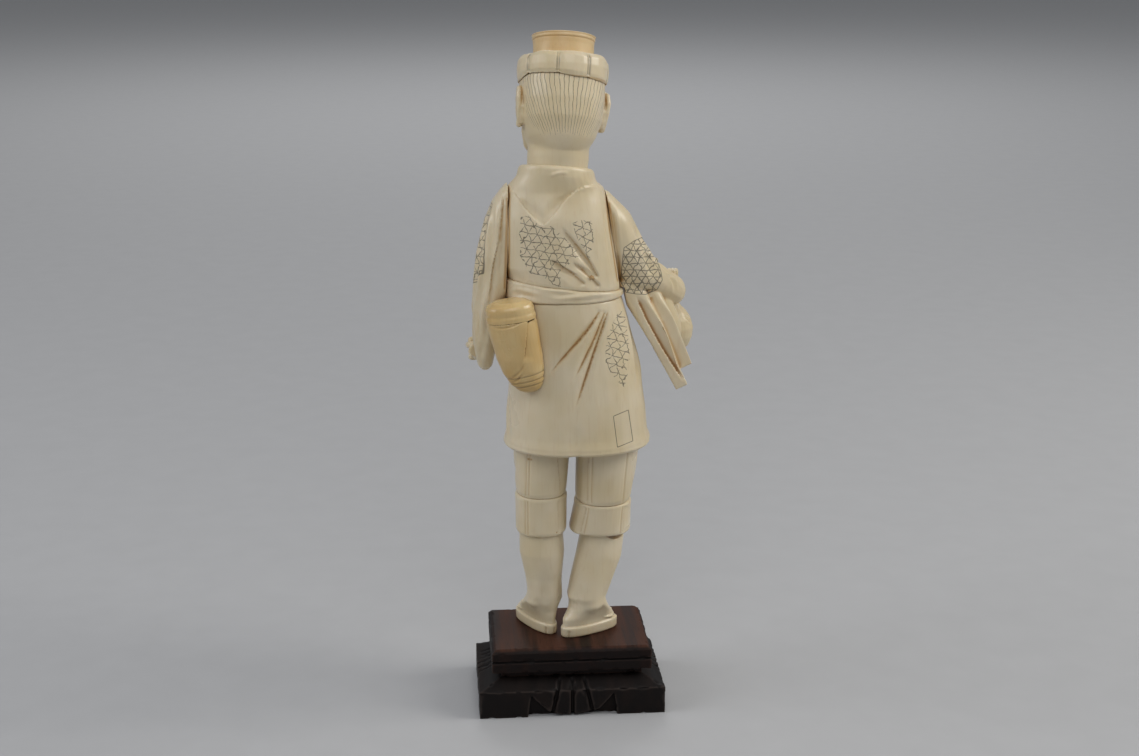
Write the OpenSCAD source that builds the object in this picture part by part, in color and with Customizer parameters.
/* [Stand] */
// Width of the wooden base
base_w = 72; // [64:0.5:90]
// Depth of the wooden base
base_d = 47.3; // [42:0.1:60]
// Height of the upright edge of the base
base_edge_h = 10.7; // [8:0.1:14]
// Rise of the sloping top of the base
base_slope_h = 3.8; // [2:0.1:6]
// Width of the recessed neck under the plinth
neck_w = 55; // [46:0.5:58]
// Depth of the recessed neck under the plinth
neck_d = 35; // [28:0.5:38]
// Height of the recessed neck under the plinth
neck_h = 3.1; // [2:0.1:5]
// Width of the plinth
plinth_w = 61.7; // [59:0.1:64]
// Depth of the plinth
plinth_d = 41.7; // [39:0.1:42]
// Height of the plinth above its neck
plinth_h = 9.3; // [8:0.1:14]
// Bevel round the top of the plinth
plinth_bevel = 1.5; // [0.5:0.1:2.5]
// Height of the groove round the plinth
groove_h = 0.7; // [0.4:0.1:1.2]
// Depth of the groove round the plinth
groove_in = 1; // [0.5:0.1:1.5]
// Width of each corner foot of the base
apron_foot_w = 19.2; // [14:0.1:22]
// Height of the notches beside the carved fan
apron_h = 9.3; // [6:0.1:9.8]
// Depth of the carving in the apron
apron_in = 2.4; // [1:0.1:4]
// Width of the carved fan at its foot
fan_w = 17; // [12:0.5:20]
// Width of the grooves between the petals
petal_groove = 1.1; // [0.6:0.1:1.6]

/* [Feet and legs] */
// Length of a foot on its sandal
foot_l = 25.4; // [20:0.1:26]
// Width of a foot on its sandal
foot_w = 9.6; // [8:0.1:10]
// Thickness of a sandal sole
sole_h = 3.4; // [2:0.1:5]
// Turn of the left foot away from straight ahead
left_turn = 27; // [20:1:34]
// Turn of the right foot away from straight ahead
right_turn = 60; // [54:1:66]
// Reach of the left heel behind the ankle
left_heel = 6.6; // [5:0.1:8]
// Reach of the right heel behind the ankle
right_heel = 11.2; // [8:0.1:11.6]
// Width of the left ankle
left_ankle_w = 11.4; // [9:0.1:13]
// Width of the right ankle
right_ankle_w = 13; // [9:0.1:14]
// Width of the calves just below the knee
calf_w = 17; // [14:0.1:19]
// Height of the bare leg with its foot
leg_h = 42; // [36:0.5:50]

/* [Breeches] */
// Height of the left knee band
left_cuff_h = 15.8; // [10:0.1:20]
// Height of the right knee band
right_cuff_h = 12.6; // [10:0.1:20]
// Width of the left knee band
left_cuff_w = 20; // [18:0.1:22]
// Width of the right knee band
right_cuff_w = 22; // [18:0.1:23]
// Width of the left breeches leg at its top
left_thigh_w = 22.4; // [18:0.1:23]
// Width of the right breeches leg at its top
right_thigh_w = 25; // [18:0.1:25.5]
// Length of the left breeches leg that shows below the hem
thigh_show = 19.2; // [12:0.1:26]

/* [Robe] */
// Height of the skirt from hem to waist
skirt_h = 58.1; // [45:0.1:75]
// Width of the skirt at the hem
hem_w = 56; // [54:0.5:62]
// Depth of the skirt at the hem
hem_d = 43; // [38:0.5:52]
// Width of the waist
waist_w = 43.6; // [40:0.1:48]
// Depth of the waist
waist_d = 35; // [30:0.1:42]
// Depth of the hollow under the skirt
hem_hollow = 6.5; // [4:0.1:12]
// Thickness of the skirt at the hem
hem_wall = 2.4; // [1.6:0.1:3]
// Height of the sash at the spine
sash_h = 5.4; // [4:0.1:8]
// How far the sash stands out from the waist
sash_out = 0.9; // [0.3:0.1:2]
// Height of the torso from sash to collar
torso_h = 42.6; // [36:0.1:50]
// Width across both shoulder joints
shoulder_w = 34.4; // [31:0.1:38]
// Depth of the chest
chest_d = 33.6; // [28:0.1:38]
// Width of the open collar
collar_w = 27.4; // [26:0.1:30]
// Depth of the hollow in the collar
collar_hollow = 4.6; // [3:0.1:7]
// Depth of the folds carved into the robe
fold_in = 1.2; // [0.6:0.1:1.5]
// Width of the folds carved into the robe
fold_w = 4.2; // [3:0.1:6]
// Depth of the step where cloth lies over cloth
lap_in = 1.5; // [0.8:0.1:1.5]

/* [Arms] */
// How far the left sleeve stands out from its joint
left_sleeve_out = 12.6; // [10:0.1:15]
// Length of the left sleeve
left_sleeve_l = 71.5; // [66:0.5:76]
// Front to back depth of the left sleeve
sleeve_d = 22; // [17:0.5:25]
// Size of a closed hand across the knuckles
hand_w = 8.4; // [7:0.1:9.5]
// Thickness of a finger
finger_d = 3; // [2.4:0.1:3.4]
// Reach of the right forearm beyond the elbow
forearm_l = 18.6; // [15:0.1:20]
// Length of the right sleeve's hanging tail
tail_l = 44; // [34:0.5:48]

/* [Sack and basket] */
// Width of the tied sack
sack_w = 17; // [12:0.5:19]
// Height of the tied sack
sack_h = 20; // [15:0.5:22]
// Thickness of the cord that ties the sack
tie_d = 1.5; // [1:0.1:2]
// Width of the hip basket
creel_w = 17.6; // [14:0.1:20]
// Length of the hip basket without its lid
creel_l = 28; // [22:0.5:34]
// Height of the basket lid
lid_h = 6.4; // [4:0.1:9]
// How far the lid's rim stands out
lid_out = 0.8; // [0.3:0.1:1.5]

/* [Head] */
// Width of the head over the hair
head_w = 31; // [28:0.1:33]
// Depth of the head from brow to hair
head_d = 35; // [31:0.1:38]
// Height of the head from chin to crown
head_h = 40; // [36:0.1:43]
// Forward bow of the head
head_bow = 14.5; // [5:0.5:20]
// Lean of the head to its right
head_roll = 5.5; // [0:0.5:10]
// Turn of the head to its left
head_turn = 8; // [0:0.5:15]
// Width of the neck
throat_w = 22; // [18:0.1:22.5]
// Height of the padded cap band
band_h = 9; // [6:0.1:10]
// How far the padded band stands out
band_out = 1.3; // [0.6:0.1:2]
// Width of the crown at its foot
crown_w = 21.8; // [18:0.1:24]
// Height of the crown above the band
crown_h = 8.2; // [6:0.1:13]
// Height of the crown's rounded rim
rim_h = 1.9; // [1.2:0.1:2.6]

/* [Pegs] */
// Diameter of the pegs
peg_d = 3; // [2:0.1:3.4]
// Length of each peg's grip in a piece
peg_in = 6; // [4:0.1:7]
// Diameter of the stand dowels
dowel_d = 5; // [3:0.1:6]
// Clearance round pegs and dowels
fit = 0.05; // [0.02:0.01:0.15]
// Clearance between rounded pieces that sit together
seat = 0.25; // [0.1:0.05:0.5]

/* [Hidden] */
sides = 32;
over = 1;
ivory = [0.90, 0.84, 0.68];
honey = [0.80, 0.64, 0.35];
wood = [0.22, 0.11, 0.08];

// Heights of the joints, from the table upwards
base_h = base_edge_h + base_slope_h;
stand_h = base_h + neck_h + plinth_h;
shoulder_drop = 7.5;
knee_z = stand_h + leg_h;
left_cuff_z = knee_z + left_cuff_h;
right_cuff_z = knee_z + right_cuff_h;
hem_z = left_cuff_z + thigh_show;
hip_z = hem_z + hem_hollow;
waist_z = hem_z + skirt_h;
sash_z = waist_z + sash_h;
collar_z = sash_z + torso_h;
shoulder_z = collar_z - shoulder_drop;
collar_floor_z = collar_z - collar_hollow;
throat_h = 11.5;
head_z = collar_floor_z + throat_h + head_h * 0.36;

// Places of the centres, seen from above
left_ankle = [9.2, 1.2];
right_ankle = [-6.6, 4.2];
left_knee = [10.5, 1];
right_knee = [-13.4, 1];
hem_at = [-3.4, 0];
left_hip = [hem_at[0] + hem_w / 2 - hem_wall - 1.1 - left_thigh_w / 2, 0];
right_hip = [hem_at[0] - hem_w / 2 + hem_wall + 0.5 + right_thigh_w / 2, 0];
waist_at = [1.8, 0];
chest_at = [4.8, 0];
collar_at = [4.4, 1.6];
head_at = [2.3, -1];
sash_slope = 0.12;
collar_slope = 0.077;
collar_drop = 0.2;

// One closed ring of points: centre c, half widths r, turn a, squareness n, slopes lx and ly;
// egg makes the end that the turn points at wider than the other
function oval(c, r, a = 0, n = 2, lx = 0, ly = 0, egg = 0) = [
    for (i = [0 : sides - 1])
        let (t = 360 * i / sides,
            u = r[0] * sign(cos(t)) * pow(abs(cos(t)), 2 / n),
            v = r[1] * sign(sin(t)) * pow(abs(sin(t)), 2 / n) * (1 + egg * cos(t)),
            x = u * cos(a) - v * sin(a),
            y = u * sin(a) + v * cos(a))
        [c[0] + x, c[1] + y, c[2] + lx * x + ly * y]
];

function mix(a, b, t) = a + (b - a) * t;
function at(p, z) = [p[0], p[1], z];

// A closed skin over rings that are listed from the bottom up
module skin(rings) {
    n = len(rings[0]);
    last = (len(rings) - 1) * n;
    polyhedron(
        points = [for (r = rings) each r],
        faces = concat(
            [[for (i = [0 : n - 1]) i]],
            [[for (i = [n - 1 : -1 : 0]) last + i]],
            [for (k = [0 : len(rings) - 2], i = [0 : n - 1])
                [k * n + i, (k + 1) * n + i, (k + 1) * n + (i + 1) % n]],
            [for (k = [0 : len(rings) - 2], i = [0 : n - 1])
                [k * n + i, (k + 1) * n + (i + 1) % n, k * n + (i + 1) % n]]));
}

// An outline in X and Z, drawn along Y, and an outline in Y and Z, drawn along X
module along_y(outline, l) {
    rotate([90, 0, 0]) translate([0, 0, -l / 2]) linear_extrude(l) polygon(outline);
}

module along_x(outline, l) {
    rotate([90, 0, 90]) translate([0, 0, -l / 2]) linear_extrude(l) polygon(outline);
}

function both_sides(right) = concat(right,
    [for (i = [len(right) - 1 : -1 : 0]) [-right[i][0], right[i][1]]]);

// A long cut into a form, which is a list of rows [height, centre x, centre y, half width, half
// depth, squareness]. The line lists its points from the lowest up, as parts of the half width and
// of the height from low to high. Side is 1 behind and -1 in front, the cut slopes up to the
// surface over reach on its two sides, and ends is how much of it is left where it begins and ends.
function form_at(form, z, k) = lookup(z, [for (f = form) [f[0], f[k]]]);

module cut(form, low, high, side, line, reach, depth, ends = 1) {
    skin([for (i = [0 : len(line) - 1])
        let (x = line[i][0],
            z = mix(low, high, line[i][1]),
            r = [form_at(form, z, 3), form_at(form, z, 4)],
            n = form_at(form, z, 5),
            y = side * pow(1 - pow(abs(x), n), 1 / n),
            q = [form_at(form, z, 1) + x * r[0], form_at(form, z, 2) + y * r[1], z],
            slope = [sign(x) * pow(abs(x), n - 1) / r[0], side * pow(abs(y), n - 1) / r[1]],
            out = at(slope / norm(slope), 0),
            left = [-out[1], out[0], 0],
            s = i == 0 || i == len(line) - 1 ? ends : 1)
        [q + 2 * fold_in * out, q + s * reach[0] * left, q - s * depth * out, q - s * reach[1] * left]]);
}

module fold(form, low, high, side, line) {
    cut(form, low, high, side, line, [fold_w, fold_w] / 2, fold_in, 0.15);
}

// A peg centred on point a and turned, and the hole that takes it
module peg(a, l, turn = [0, 0, 0], d = peg_d) {
    translate(a) rotate(turn) translate([0, 0, -l / 2]) cylinder(d = d, h = l, $fn = 48);
}

module bore(a, l, turn = [0, 0, 0], d = peg_d) {
    peg(a, l + 4 * fit, turn, d + 2 * fit);
}

module ball(c, r) {
    translate(c) scale([r[0], r[1], r[2]]) sphere(1, $fn = max(r) > 2 * finger_d ? 20 : 14);
}

// Stand
function base_outline(w, top) = both_sides([[w / 2, 0], [w / 2, base_edge_h], [top / 2, base_h]]);

function plinth_outline(w, foot) = both_sides([
    [foot / 2, base_h], [foot / 2, base_h + neck_h], [w / 2, base_h + neck_h],
    [w / 2, groove_z], [w / 2 - groove_in, groove_z],
    [w / 2 - groove_in, groove_z + groove_h], [w / 2, groove_z + groove_h],
    [w / 2, stand_h - plinth_bevel], [w / 2 - plinth_bevel, stand_h]]);

groove_z = base_h + neck_h + plinth_h * 0.42;
dowel_x = neck_w * 0.3;
dowel_l = 16;

// The space cut away from one face of the apron, round the fan of petals
module apron_cut(w, fan) {
    lift = 0.6;
    reach = w / 2 - apron_foot_w * w / base_w;
    along_y(both_sides([
        [reach + 0.6, -over], [reach, apron_h * 0.5], [reach - 0.7, apron_h],
        [mix(fan / 2, reach, 0.6), apron_h * 0.66], [mix(fan / 2, reach, 0.25), apron_h * 0.32],
        [fan / 2, 1.8], [fan / 4, lift]]), 2 * apron_in);
    for (s = [-1, 0, 1])
        translate([s * fan * 0.4, 0, base_edge_h / 2])
            rotate([0, -s * 9, 0])
                rotate([0, 0, 45])
                    cube([petal_groove, petal_groove, 2 * base_edge_h], center = true);
}

module stand_base() {
    color(wood)
    difference() {
        intersection() {
            along_y(base_outline(base_w, neck_w), base_d + over);
            along_x(base_outline(base_d, neck_d), base_w + over);
        }
        for (s = [-1, 1]) {
            translate([0, s * base_d / 2, 0]) apron_cut(base_w, fan_w);
            translate([s * base_w / 2, 0, 0]) rotate([0, 0, 90]) apron_cut(base_d, fan_w * 0.7);
            bore([s * dowel_x, 0, base_h], dowel_l, d = dowel_d);
        }
    }
}

module stand_plinth() {
    color(wood)
    difference() {
        intersection() {
            along_y(plinth_outline(plinth_w, neck_w), plinth_d + over);
            along_x(plinth_outline(plinth_d, neck_d), plinth_w + over);
        }
        for (s = [-1, 1]) bore([s * dowel_x, 0, base_h], dowel_l, d = dowel_d);
        for (p = [left_ankle, right_ankle]) bore(at(p, stand_h), 2 * peg_in);
    }
}

module stand_dowels() {
    color(wood) for (s = [-1, 1]) peg([s * dowel_x, 0, base_h], dowel_l, d = dowel_d);
}

// Legs: the foot points away from its heel, and heel is how far that lies behind the ankle
module leg(ankle, knee, turn, ankle_w, heel) {
    ahead = [sin(turn), -cos(turn)];
    tread = ankle + ahead * (foot_l / 2 - heel);
    instep = ankle + ahead * foot_l * 0.06;
    top = stand_h + sole_h;
    rise = leg_h - sole_h;
    a = turn - 90;
    difference() {
        skin([
            oval(at(tread, stand_h), [foot_l, foot_w] / 2, a, 2.5, egg = 0.16),
            oval(at(tread, top), [foot_l, foot_w] / 2, a, 2.5, egg = 0.16),
            oval(at(tread, top), [foot_l - 2, foot_w - 1.6] / 2, a, 2.4, egg = 0.14),
            oval(at(tread - ahead * 0.6, top + rise * 0.07), [foot_l - 3.4, foot_w - 1.6] / 2,
                a, 2.3, egg = 0.1),
            oval(at(mix(instep, tread, 0.6), top + rise * 0.14), [foot_l * 0.66, foot_w - 1.2] / 2, a, 2.2),
            oval(at(instep, top + rise * 0.21), [foot_l * 0.5, ankle_w * 0.9] / 2, a),
            oval(at(ankle, top + rise * 0.3), [ankle_w, ankle_w] * 0.52, a),
            oval(at(mix(ankle, knee, 0.3), top + rise * 0.5), [ankle_w * 1.14, ankle_w * 1.14] / 2, a),
            oval(at(mix(ankle, knee, 0.8), top + rise * 0.78), [calf_w * 1.03, calf_w * 1.03] / 2, a),
            oval(at(knee, knee_z), [calf_w, calf_w] / 2, a)]);
        bore(at(ankle, stand_h), 2 * peg_in);
        bore(at(knee, knee_z), 2 * peg_in);
    }
}

module left_leg() {
    color(ivory) leg(left_ankle, left_knee, left_turn, left_ankle_w, left_heel);
}

module right_leg() {
    color(ivory) leg(right_ankle, right_knee, -right_turn, right_ankle_w, right_heel);
}

module foot_pegs() {
    color(ivory) for (p = [left_ankle, right_ankle]) peg(at(p, stand_h), 2 * peg_in);
}

// Knee bands: plain turned-up cloth with softened edges, a little wider at the top
module cuff(knee, w, h) {
    difference() {
        skin([for (s = [[0, -0.7], [0.07, -0.2], [0.5, -0.1], [0.93, 0], [1, -0.5]])
            oval(at(knee, knee_z + s[0] * h), [w, w * 1.04] / 2 + [s[1], s[1]], 0, 2.2)]);
        bore(at(knee, knee_z + h / 2), h + 2 * peg_in);
    }
}

module left_cuff() {
    color(ivory) cuff(left_knee, left_cuff_w, left_cuff_h);
}

module right_cuff() {
    color(ivory) cuff(right_knee, right_cuff_w, right_cuff_h);
}

module knee_pegs() {
    color(ivory) {
        peg(at(left_knee, knee_z + left_cuff_h / 2), left_cuff_h + 2 * peg_in);
        peg(at(right_knee, knee_z + right_cuff_h / 2), right_cuff_h + 2 * peg_in);
    }
}

// Breeches: loose cloth that narrows to the knee band
module breeches(knee, hip, low_z, low_w, top_w) {
    difference() {
        skin([for (t = [0, 0.08, 0.3, 0.6, 1])
            oval(at(mix(knee, hip, t), mix(low_z, hip_z, t)),
                [1, 1.12] * mix(low_w * 0.96, top_w, pow(t, 0.8)) / 2, 0, 2.2)]);
        bore(at(knee, low_z), 2 * peg_in);
        bore(at(hip, hip_z), 2 * peg_in);
    }
}

module left_breeches() {
    color(ivory) breeches(left_knee, left_hip, left_cuff_z, left_cuff_w, left_thigh_w);
}

module right_breeches() {
    color(ivory) breeches(right_knee, right_hip, right_cuff_z, right_cuff_w, right_thigh_w);
}

module hip_pegs() {
    color(ivory) for (p = [left_hip, right_hip]) peg(at(p, hip_z), 2 * peg_in);
}

// Skirt: straight sides that flare a little, with a turned hem
function skirt_at(t) = mix(hem_at, waist_at, pow(t, 2.6));
function skirt_side(t) = skirt_at(t)[0] - mix(hem_w, waist_w, t) / 2;

function skirt_ring(t, grow = 0) =
    let (c = skirt_at(t),
        w = mix(hem_w, waist_w, t) / 2 + grow,
        d = mix(hem_d, waist_d, t) / 2 + grow)
    oval(at(c, mix(hem_z, waist_z, t)), [w, d], 0, 2.2);

module skirt_body(grow = 0) {
    skin([for (t = [0, 0.02, 0.1, 0.25, 0.4, 0.55, 0.7, 0.85, 1])
        skirt_ring(t, grow + (t == 0 ? -0.8 : t == 0.02 ? 0.4 : t == 0.1 ? -0.3 : 0))]);
}

skirt_form = [for (t = [0 : 0.125 : 1])
    [mix(hem_z, waist_z, t), skirt_at(t)[0], 0, mix(hem_w, waist_w, t) / 2, mix(hem_d, waist_d, t) / 2, 2.2]];
skirt_lap = [[-0.19, 0.2], [-0.14, 0.48], [-0.06, 0.79], [0.01, 0.97]];
skirt_folds_behind = [
    [[0.43, 0.55], [0.08, 0.7], [-0.22, 0.82], [-0.53, 0.94]],
    [[0.11, 0.48], [-0.18, 0.68], [-0.38, 0.79], [-0.57, 0.9]],
    [[0.11, 0.28], [-0.05, 0.46], [-0.22, 0.62], [-0.43, 0.79], [-0.69, 0.93]]];
skirt_folds_before = [
    [[0.7, 0.35], [0.46, 0.52], [0.21, 0.74], [0.05, 0.9]],
    [[-0.68, 0.29], [-0.52, 0.41], [-0.3, 0.64], [-0.12, 0.86]],
    [[-0.81, 0.57], [-0.59, 0.64], [-0.36, 0.78], [-0.18, 0.93]]];

module skirt() {
    color(ivory)
    difference() {
        skirt_body();
        cut(skirt_form, hem_z, waist_z, -1, skirt_lap, [0.3, 5], lap_in, 0.4);
        for (l = skirt_folds_behind) fold(skirt_form, hem_z, waist_z, 1, l);
        for (l = skirt_folds_before) fold(skirt_form, hem_z, waist_z, -1, l);
        translate([0, 0, hem_z - over])
            linear_extrude(hem_hollow + over)
                polygon([for (p = oval(at(hem_at, 0), [hem_w, hem_d] / 2 - [hem_wall, hem_wall], 0, 2.2))
                    [p[0], p[1]]]);
        for (p = [left_hip, right_hip]) bore(at(p, hip_z), 2 * peg_in);
        bore(at(waist_at, waist_z), sash_h * 2 + 2 * peg_in);
        bore(creel_seat, 2 * peg_in, creel_peg_turn);
    }
}

// Sash: its lower edge is level and its upper edge rises to the left
module sash() {
    w = [waist_w, waist_d] / 2;
    grown = w + [sash_out, sash_out];
    color(ivory)
    difference() {
        skin([
            oval(at(waist_at, waist_z), w + [0.1, 0.1], 0, 2.2),
            oval(at(waist_at, waist_z + 0.6), grown, 0, 2.2),
            oval(at(waist_at, sash_z - 0.6), grown, 0, 2.2, sash_slope),
            oval(at(waist_at, sash_z), w + [0.1, 0.1], 0, 2.2, sash_slope)]);
        beyond_joint(left_joint, 1);
        bore(at(waist_at, waist_z), sash_h * 2 + 2 * peg_in);
    }
}

module waist_peg() {
    color(ivory) peg(at(waist_at, waist_z), sash_h * 2 + 2 * peg_in);
}

// The flat joint faces between torso and sleeves, as lines [x at collar, x at sash]
left_joint = [chest_at[0] + shoulder_w / 2, chest_at[0] + shoulder_w / 2 + 1.4];
right_joint = [chest_at[0] - shoulder_w / 2, chest_at[0] - shoulder_w / 2 - 6];
left_lean = atan((left_joint[1] - left_joint[0]) / torso_h);
right_lean = atan((right_joint[0] - right_joint[1]) / torso_h);
joint_reach = 60;

function joint_x(line, z) = mix(line[0], line[1], (collar_z - z) / torso_h);

// Everything on the arm side of a joint face
module beyond_joint(line, side) {
    low = sash_z - joint_reach;
    high = collar_z + joint_reach;
    along_y([
        [joint_x(line, low), low],
        [side * 2 * joint_reach, low],
        [side * 2 * joint_reach, high],
        [joint_x(line, high), high]], 4 * joint_reach);
}

// Torso rings: centre, half widths, squareness and slopes
waist_r = [waist_w, waist_d] / 2;
broad_r = [shoulder_w * 1.2, chest_d] / 2;
collar_r = [collar_w, collar_w * 0.92] / 2;
torso_rings = [
    [at(waist_at, sash_z), waist_r, 2.2, sash_slope, 0],
    [at(waist_at, sash_z + 1.5), waist_r + [0.3, 0.3], 2.2, sash_slope, 0],
    [at(mix(waist_at, chest_at, 0.4), mix(sash_z, shoulder_z, 0.2)), waist_r + [0.6, 0.2], 2.3, 0, 0],
    [at(mix(waist_at, chest_at, 0.7), mix(sash_z, shoulder_z, 0.45)), broad_r + [1, 0.2], 2.4, 0, 0],
    [at(chest_at, mix(sash_z, shoulder_z, 0.7)), broad_r, 2.4, 0, 0],
    [at(chest_at, mix(sash_z, shoulder_z, 0.88)), broad_r - [1.4, 2], 2.4, 0, 0],
    [at(chest_at, shoulder_z), [shoulder_w / 2 + 0.6, chest_d * 0.41], 2.3, 0, 0],
    [at(collar_at, collar_z - 4), collar_r + [0.9, 0.7], 2, collar_slope, collar_drop],
    [at(collar_at, collar_z - 1), collar_r + [0.2, 0.2], 2, collar_slope, collar_drop],
    [at(collar_at, collar_z), collar_r - [0.6, 0.6], 2, collar_slope, collar_drop]];
torso_form = [for (r = torso_rings) [r[0][2], r[0][0], r[0][1], r[1][0], r[1][1], r[2]]];
top_lapel = [[-0.36, 0.08], [-0.24, 0.23], [0.02, 0.53], [0.28, 0.73], [0.5, 0.87]];
under_lapel = [[0.02, 0.53], [-0.12, 0.65], [-0.28, 0.76], [-0.42, 0.86]];
yoke_left = [[0.23, 0.57], [0.44, 0.635], [0.6, 0.7], [0.74, 0.76]];
yoke_right = [[0.23, 0.57], [0.04, 0.68], [-0.13, 0.77], [-0.32, 0.83]];
torso_folds_behind = [
    [[-0.53, 0.12], [-0.3, 0.35], [-0.08, 0.53]], [[-0.54, 0.07], [-0.35, 0.17], [-0.16, 0.25]],
    [[-0.3, 0.09], [0, 0.18], [0.21, 0.27]]];

module torso() {
    color(ivory)
    difference() {
        skin([for (r = torso_rings) oval(r[0], r[1], 0, r[2], r[3], r[4])]);
        cut(torso_form, sash_z, collar_z, -1, top_lapel, [0.3, 7], lap_in, 0.5);
        cut(torso_form, sash_z, collar_z, -1, under_lapel, [7, 0.3], lap_in, 0.5);
        cut(torso_form, sash_z, collar_z, 1, yoke_left, [4, 0.3], lap_in, 0.5);
        cut(torso_form, sash_z, collar_z, 1, yoke_right, [0.3, 4], lap_in, 0.5);
        for (l = torso_folds_behind) fold(torso_form, sash_z, collar_z, 1, l);
        beyond_joint(left_joint, 1);
        beyond_joint(right_joint, -1);
        translate([0, 0, collar_floor_z])
            linear_extrude(collar_hollow + 10)
                polygon([for (p = oval(at(throat_at, 0), [1, 1] * (throat_w / 2 + seat))) [p[0], p[1]]]);
        bore(at(waist_at, waist_z), sash_h * 2 + 2 * peg_in);
        bore(at(throat_at, collar_floor_z), 2 * peg_in);
        bore(left_shoulder, 2 * peg_in, [0, 90 + left_lean, 0]);
        bore(right_shoulder, 2 * peg_in, [0, -90 - right_lean, 0]);
    }
}

throat_at = [4.2, 2];
shoulder_peg_z = mix(sash_z, shoulder_z, 0.62);
left_shoulder = [joint_x(left_joint, shoulder_peg_z), 0, shoulder_peg_z];
right_shoulder = [joint_x(right_joint, shoulder_peg_z), 0, shoulder_peg_z];

module shoulder_pegs() {
    color(ivory) {
        peg(left_shoulder, 2 * peg_in, [0, 90 + left_lean, 0]);
        peg(right_shoulder, 2 * peg_in, [0, -90 - right_lean, 0]);
    }
}

// Left sleeve: hangs straight, flat against its joint, and narrows to a rounded tip
sleeve_top = shoulder_z + 1.4;
left_tip = sleeve_top - left_sleeve_l;
left_edge = left_joint[1] + left_sleeve_out;
hang_x = left_edge - 4.8;

module left_sleeve() {
    color(ivory)
    intersection() {
        difference() {
            skin([
                oval([hang_x, -6, left_tip], [1.6, sleeve_d * 0.16], 0, 2.2),
                oval([hang_x, -6, left_tip + 1.6], [2.8, sleeve_d * 0.26], 0, 2.2),
                oval([hang_x, -5.4, left_tip + 6], [3.8, sleeve_d * 0.38], 0, 2.2),
                oval([left_edge - 5.4, -4, left_tip + 13], [5.2, sleeve_d * 0.46], 0, 2.2),
                oval([left_edge - 6.2, -2.4, left_tip + 25], [6, sleeve_d * 0.5], 0, 2.2),
                oval([left_edge - 9, -1, left_tip + 38], [8.2, sleeve_d * 0.5], 0, 2.2),
                oval([left_edge - 10.2, 0, left_tip + 46], [8.4, sleeve_d * 0.49], 0, 2.2),
                oval([left_edge - 12.6, 0, sleeve_top - 13], [7.6, sleeve_d * 0.45], 0, 2.2),
                oval([left_edge - 13.6, 0, sleeve_top - 6], [5.6, sleeve_d * 0.38], 0, 2.2),
                oval([left_edge - 14, 0, sleeve_top - 2], [3, sleeve_d * 0.3], 0, 2.2),
                oval([left_edge - 14.2, 0, sleeve_top], [1.2, sleeve_d * 0.22], 0, 2.2)]);
            bore(left_shoulder, 2 * peg_in, [0, 90 + left_lean, 0]);
            wrist_bore(left_wrist);
            translate(left_wrist + [left_reach, 0, 0])
                rotate([90, 0, 0]) cylinder(d = hand_w + 3, h = sleeve_d, $fn = 48);
        }
        beyond_joint(left_joint, 1);
    }
}

left_reach = 1.3;
left_wrist = [hang_x + 1.6, -11.4, left_tip + 5.6];
left_palm = left_wrist + [left_reach, -5.6, -1];

// A closed hand: back of the hand, four curled fingers, and a thumb across them
module fist() {
    pitch = hand_w / 4;
    f = finger_d / 2;
    hull() {
        ball([-0.6, 4.8, 0.6], [2.6, 1.4, 3]);
        ball([0.4, 0, 0], [3, 2.6, hand_w / 2]);
    }
    for (i = [0 : 3]) {
        z = hand_w / 2 - pitch * (i + 0.5);
        curl = -4 + 0.25 * i;
        hull() {
            ball([1.4, -1.2, z], [f, f, f]);
            ball([1.2, curl, z], [f, f, f]);
        }
        hull() {
            ball([1.2, curl, z], [f, f, f]);
            ball([-1.8, curl + 0.6, z], [f, f, f] * 0.95);
        }
    }
    hull() {
        ball([-2.2, 1.4, 1.8], [1.5, 1.5, 1.5]);
        ball([-2.9, -3.2, 1.4], [1.3, 1.3, 1.3]);
    }
}

// Everything on the sleeve's side of a wrist
module behind(wrist) {
    translate([0, wrist[1] + 2 * joint_reach, 0]) cube([4, 4, 20] * joint_reach, center = true);
}

module left_hand() {
    color(ivory)
    difference() {
        translate(left_palm) mirror([1, 0, 0]) rotate([8, 0, 0]) fist();
        behind(left_wrist);
        wrist_bore(left_wrist);
    }
}

// Right sleeve: bent at the elbow, with two flat-sided tails and a round drape below the forearm
elbow = [right_joint[1] - 10.6, -4, sash_z + 0.6];
cuff_end = elbow + forearm_l * [-0.695, -0.56, -0.455];
tail_dir = [-0.41, 0.04, -0.9];
tail_size = [4.8, 4.4, 3];

// A square block of a tail, t of the way down from point a
module tail_block(a, t, grow) {
    translate(a + tail_dir * tail_l * t)
        rotate([0, atan(tail_dir[0] / tail_dir[2]), 0]) cube(tail_size * grow, center = true);
}

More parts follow.
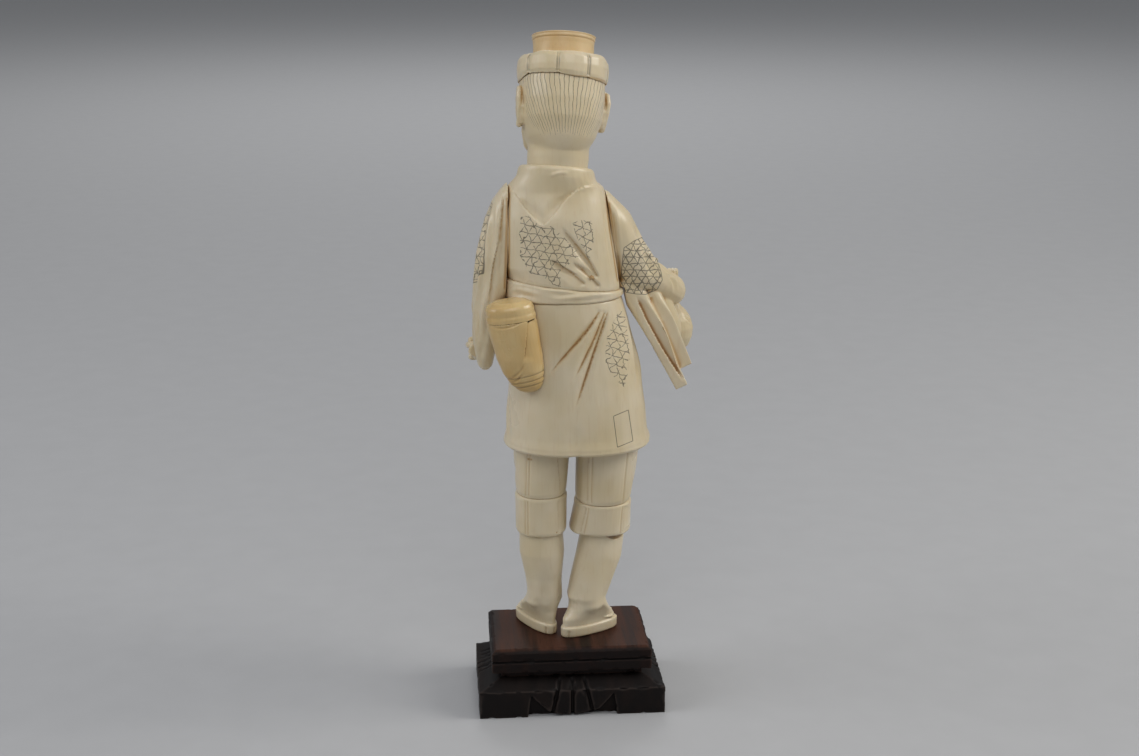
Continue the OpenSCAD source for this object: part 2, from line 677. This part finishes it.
module right_arm_form() {
    upper = right_joint[0];
    hull() {
        ball([upper - 0.6, 0, shoulder_z - 4.8], [3.6, 6.6, 3.6]);
        ball([upper - 4.6, 0, shoulder_z - 12], [7, 9.4, 5]);
    }
    hull() {
        ball([upper - 4.6, 0, shoulder_z - 12], [7, 9.4, 5]);
        ball([upper - 8, -1, shoulder_z - 23], [9, 10.2, 6]);
    }
    hull() {
        ball([upper - 8, -1, shoulder_z - 23], [9, 10.2, 6]);
        ball(elbow + [2, 0, 1], [8.6, 9.6, 7]);
    }
    hull() {
        ball(elbow + [-0.6, 0, 0.6], [6.4, 8, 6]);
        ball(cuff_end, [5, 5, 5.6]);
    }
    hull() {
        ball(elbow + [6, 4, -3], [5, 4, 4]);
        tail_block(elbow + [5, 5, 0], 0.55, 1.5);
    }
    hull() {
        tail_block(elbow + [5, 5, 0], 0.55, 1.5);
        tail_block(elbow + [5, 6, 0], 1.02, 1);
    }
    hull() {
        ball(elbow + [1, -2, -3], [5.4, 5, 4]);
        tail_block(elbow + [1, 0, 1], 0.5, 1.7);
    }
    hull() {
        tail_block(elbow + [1, 0, 1], 0.5, 1.7);
        tail_block(elbow + [1, 0, 2], 0.9, 1.2);
    }
    hull() {
        ball(elbow + [-3, -5, -4], [5, 4.5, 5]);
        ball([sack_at[0] + 2.5, sack_at[1] + sack_w * 0.46 + 6, sack_top - sack_h * 0.4], [4.5, 3.4, 8.5]);
    }
}

module right_sleeve() {
    color(ivory)
    difference() {
        right_arm_form();
        along_y(concat([
            [joint_reach, collar_z + joint_reach],
            [joint_x(right_joint, collar_z + joint_reach), collar_z + joint_reach],
            [joint_x(right_joint, sash_right_z), sash_right_z],
            [sash_right_x, sash_right_z]],
            [for (t = [1 : -0.2 : 0])
                [skirt_side(t) - seat - (t == 1 ? sash_out : 0), mix(hem_z, waist_z, t)]],
            [[joint_reach, hem_z]]), 4 * joint_reach);
        bore(right_shoulder, 2 * peg_in, [0, -90 - right_lean, 0]);
        wrist_bore(right_wrist);
        translate([0, right_wrist[1] - joint_reach, right_wrist[2]])
            cube([4, 2, 0.35] * joint_reach, center = true);
    }
}

sash_right_x = waist_at[0] - waist_w / 2 - sash_out - seat;
sash_right_z = sash_z + sash_slope * (sash_right_x - waist_at[0]) + seat;
right_wrist = cuff_end + [-0.6, -3.6, 0];
right_palm = right_wrist + [0, -5.2, -0.4];

module right_hand() {
    color(ivory)
    difference() {
        translate(right_palm) rotate([4, 0, 0]) fist();
        behind(right_wrist);
        wrist_bore(right_wrist);
        bore(at(sack_at, right_palm[2]), 2 * hand_w, d = sack_neck_w + 2 * seat);
    }
}

// The wrist pegs reach less far into the hands than into the sleeves
wrist_in = 3;
wrist_shift = [0, (peg_in - wrist_in) / 2, 0];

module wrist_bore(a) {
    bore(a + wrist_shift, peg_in + wrist_in, [90, 0, 0]);
}

module wrist_pegs() {
    color(ivory) for (a = [left_wrist, right_wrist]) peg(a + wrist_shift, peg_in + wrist_in, [90, 0, 0]);
}

// Sack: gathered at the neck, which passes up through the closed hand
sack_at = [right_palm[0] - 0.4, right_palm[1] - 1.2];
sack_neck_w = 4.4;
tie_gap = 0.6;
sack_neck_show = 2.4;
sack_top = right_palm[2] - hand_w / 2 - tie_d - tie_gap;

module sack() {
    color(ivory) {
        skin([for (s = [
                [-1, 0.2], [-0.97, 0.52], [-0.86, 0.8], [-0.68, 0.96], [-0.5, 1], [-0.34, 0.9],
                [-0.2, 0.68], [-0.1, 0.44], [0, 0.3]])
            oval(at(sack_at, sack_top + s[0] * sack_h), [sack_w, sack_w * 0.92] * s[1] / 2, 10, 2.2)]);
        translate(at(sack_at, sack_top - over))
            cylinder(d = sack_neck_w, h = over + tie_gap + tie_d + hand_w + sack_neck_show, $fn = 48);
    }
}

module sack_tie() {
    color(honey)
    translate(at(sack_at, sack_top + tie_d / 2 + 0.1))
        rotate_extrude($fn = 48)
            translate([sack_neck_w / 2 + tie_d / 2 + 0.05, 0]) circle(d = tie_d, $fn = 24);
}

// Hip basket: a flattened tapering body that lies against the skirt, under a flat lid
creel_at = [waist_at[0] + waist_w / 2 - 2.1, waist_d / 2 - 1.5];
creel_top_z = waist_z - 5.4;
creel_lean = 7;
creel_low_z = creel_top_z - creel_l;
creel_seat = [creel_at[0] - 6, creel_at[1] - 1.2, creel_top_z - 9];
creel_peg_turn = [-90, 0, -18];

module creel_space() {
    skin([for (t = [0.2 : 0.1 : 1]) skirt_ring(t, seat)]);
    skin([for (z = [waist_z - seat, collar_z])
        oval(at(waist_at, z), [waist_w, waist_d] / 2 + [1, 1] * (sash_out + seat), 0, 2.2)]);
}

module creel_place() {
    translate(at(creel_at, creel_top_z)) rotate([0, creel_lean, 0]) children();
}

module creel() {
    color(honey)
    difference() {
        creel_place()
            skin([for (s = [
                    [-1, 0.3, -3], [-0.96, 0.5, -2.8], [-0.86, 0.72, -2.2], [-0.7, 0.88, -1.4],
                    [-0.5, 0.98, -0.7], [-0.25, 1, 0], [0, 0.96, 0.6]])
                oval([s[2], 0, s[0] * creel_l], [creel_w, creel_w * 0.84] * s[1] / 2, 0, 2.3)]);
        creel_space();
        bore(creel_seat, 2 * peg_in, creel_peg_turn);
    }
}

module creel_lid() {
    w = [creel_w, creel_w * 0.84] * 0.96 / 2;
    color(honey)
    difference() {
        creel_place()
            skin([
                oval([0.6, 0, 0], w + [lid_out, lid_out], 0, 2.3),
                oval([0.6, 0, lid_h * 0.24], w + [lid_out, lid_out], 0, 2.3),
                oval([0.6, 0, lid_h * 0.5], w + [lid_out, lid_out] * 0.3, 0, 2.3),
                oval([0.6, 0, lid_h * 0.82], w * 0.9, 0, 2.3),
                oval([0.6, 0, lid_h], w * 0.66, 0, 2.3)]);
        creel_space();
    }
}

module creel_peg() {
    color(ivory) peg(creel_seat, 2 * peg_in, creel_peg_turn);
}

// Head, in its own frame: the face looks along -Y, and heights run from chin to crown
module head_place() {
    translate(at(head_at, head_z)) rotate([head_bow, -head_roll, head_turn]) children();
}

function head_ring(s, w, d, y, n = 2.2) = oval([0, y, s * head_h], [head_w * w, head_d * d] / 2, 0, n);

module head() {
    color(ivory)
    difference() {
        union() {
            head_place() {
                skin([
                    head_ring(-0.5, 0.3, 0.3, -head_d * 0.27),
                    head_ring(-0.47, 0.46, 0.5, -head_d * 0.2),
                    head_ring(-0.4, 0.64, 0.72, -head_d * 0.1),
                    head_ring(-0.28, 0.82, 0.9, -head_d * 0.03),
                    head_ring(-0.12, 0.95, 0.97, 0),
                    head_ring(0.05, 1, 1, 0),
                    head_ring(band_low, 1, 0.99, 0),
                    head_ring(mix(band_low, crown_z / head_h, 0.6), 0.92, 0.92, 0),
                    head_ring(crown_z / head_h, 0.64, 0.64, 0)]);
                for (s = [-1, 1])
                    skin([for (t = [-1, -0.6, 0, 0.6, 1])
                        oval([s * (head_w * 0.485 + 0.5 * (1 + t)), 0.6, -1 + 6 * t],
                            [0.9 + 0.7 * (1 - t * t), 1.6 + 2.2 * (1 - t * t)])]);
                skin([
                    oval([0, -head_d * 0.47, -5.6], [2.4, 3.4]),
                    oval([0, -head_d * 0.475, -3.8], [2.8, 4]),
                    oval([0, -head_d * 0.48, 0], [1.5, 2]),
                    oval([0, -head_d * 0.48, 4], [1.1, 1])]);
            }
            skin([
                oval(at(throat_at, collar_floor_z), [throat_w, throat_w] / 2),
                oval(at(throat_at, collar_floor_z + collar_hollow), [throat_w, throat_w] / 2),
                oval(at(mix(throat_at, head_at, 0.5), head_z - head_h * 0.3), [throat_w, throat_w] * 0.52),
                oval(at(head_at, head_z - head_h * 0.1), [throat_w, throat_w] * 0.5)]);
        }
        bore(at(throat_at, collar_floor_z), 2 * peg_in);
    }
}

module neck_peg() {
    color(ivory) peg(at(throat_at, collar_floor_z), 2 * peg_in);
}

// Cap: a padded band round the brow, under a crown with a rounded rim
band_low = 0.225;
band_z = band_low * head_h;
crown_z = band_z + band_h;

module cap_band() {
    w = [head_w, head_d] / 2;
    color(ivory)
    head_place()
    difference() {
        skin([for (s = [[0, 0.2], [0.2, 0.85], [0.5, 1], [0.8, 0.8], [0.95, 0.1], [1, -0.7]])
            oval([0, 0, band_z + s[0] * band_h], w + [band_out, band_out] * s[1], 0, 2.1)]);
        skin([
            head_ring(band_low - 0.02, 1.01, 1.01, 0),
            head_ring(band_low, 1.01, 1.01, 0),
            head_ring(mix(band_low, crown_z / head_h, 0.6), 0.935, 0.935, 0),
            head_ring(crown_z / head_h, 0.655, 0.655, 0),
            head_ring(crown_z / head_h + 0.1, 0.655, 0.655, 0)]);
    }
}

module cap_crown() {
    r = crown_w / 2;
    color(honey)
    head_place()
    translate([0, 0, crown_z])
    rotate_extrude($fn = 96)
        polygon(concat(
            [[0, 0], [r, 0], [r + 0.5, crown_h - rim_h]],
            [for (a = [-60 : 20 : 80])
                [r + 0.3 + rim_h / 2 * cos(a), crown_h - rim_h / 2 + rim_h / 2 * sin(a)]],
            [[r - 1.4, crown_h], [r - 2, crown_h - 0.7], [0, crown_h - 0.5]]));
}

stand_base();
stand_plinth();
stand_dowels();
foot_pegs();
left_leg();
right_leg();
knee_pegs();
left_cuff();
right_cuff();
left_breeches();
right_breeches();
hip_pegs();
skirt();
sash();
waist_peg();
torso();
left_sleeve();
left_hand();
right_sleeve();
right_hand();
shoulder_pegs();
wrist_pegs();
sack();
sack_tie();
creel();
creel_lid();
creel_peg();
head();
cap_band();
cap_crown();
neck_peg();
